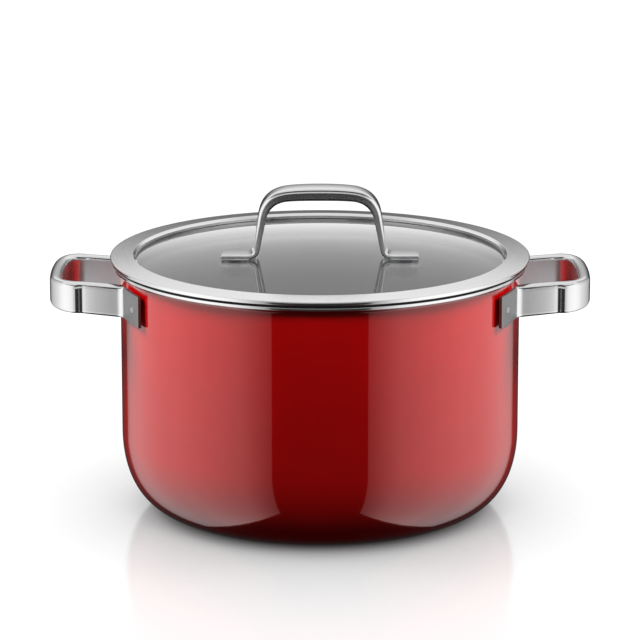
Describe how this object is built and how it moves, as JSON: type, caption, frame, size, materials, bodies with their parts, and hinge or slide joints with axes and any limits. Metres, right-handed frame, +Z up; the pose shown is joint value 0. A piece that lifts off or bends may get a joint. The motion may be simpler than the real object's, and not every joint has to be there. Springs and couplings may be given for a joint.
{
  "type": "stock pot",
  "caption": "Tall round stock pot of red enamelled steel with steel loop handles and a lift-off glass lid in a steel ring with an arch handle.",
  "frame": {"origin": "centre of the base, on the surface that the pot stands on", "axes": "+Z up along the pot's axis, +X towards the right side handle, -Y towards the front"},
  "size_m": [0.3304, 0.2572, 0.2002],
  "materials": {
    "enamel": "glossy dark red vitreous enamel outside, dark grey enamel inside",
    "steel_polished": "mirror-polished stainless steel",
    "steel_satin": "satin stainless steel, brushed round the ring",
    "glass": "smoky grey tempered glass, polished",
    "silicone": "dark grey silicone, matt",
    "fastener_steel": "turned stainless steel"
  },
  "bodies": {
    "pot": {"pot_body": "enamel", "rim_band": "steel_polished", "side_handle_right": "steel_polished", "handle_stud_right_a": "fastener_steel", "stud_spacer_right_a": "silicone", "handle_stud_right_b": "fastener_steel", "stud_spacer_right_b": "silicone", "side_handle_left": "steel_polished", "handle_stud_left_a": "fastener_steel", "stud_spacer_left_a": "silicone", "handle_stud_left_b": "fastener_steel", "stud_spacer_left_b": "silicone"},
    "lid": {"lid_ring": "steel_satin", "lid_seal": "silicone", "lid_glass": "glass", "arch_handle": "steel_polished", "foot_pad_right": "silicone", "lid_bolt_right": "fastener_steel", "glass_bush_right": "silicone", "soft_washer_right": "silicone", "steel_washer_right": "fastener_steel", "cap_nut_right": "fastener_steel", "foot_pad_left": "silicone", "lid_bolt_left": "fastener_steel", "glass_bush_left": "silicone", "soft_washer_left": "silicone", "steel_washer_left": "fastener_steel", "cap_nut_left": "fastener_steel"}
  },
  "joints": [
    {"name": "lid_lift", "type": "slide", "parent": "pot", "child": "lid", "axis": [0, 0, 1], "range_m": [0, 0.12]}
  ]
}
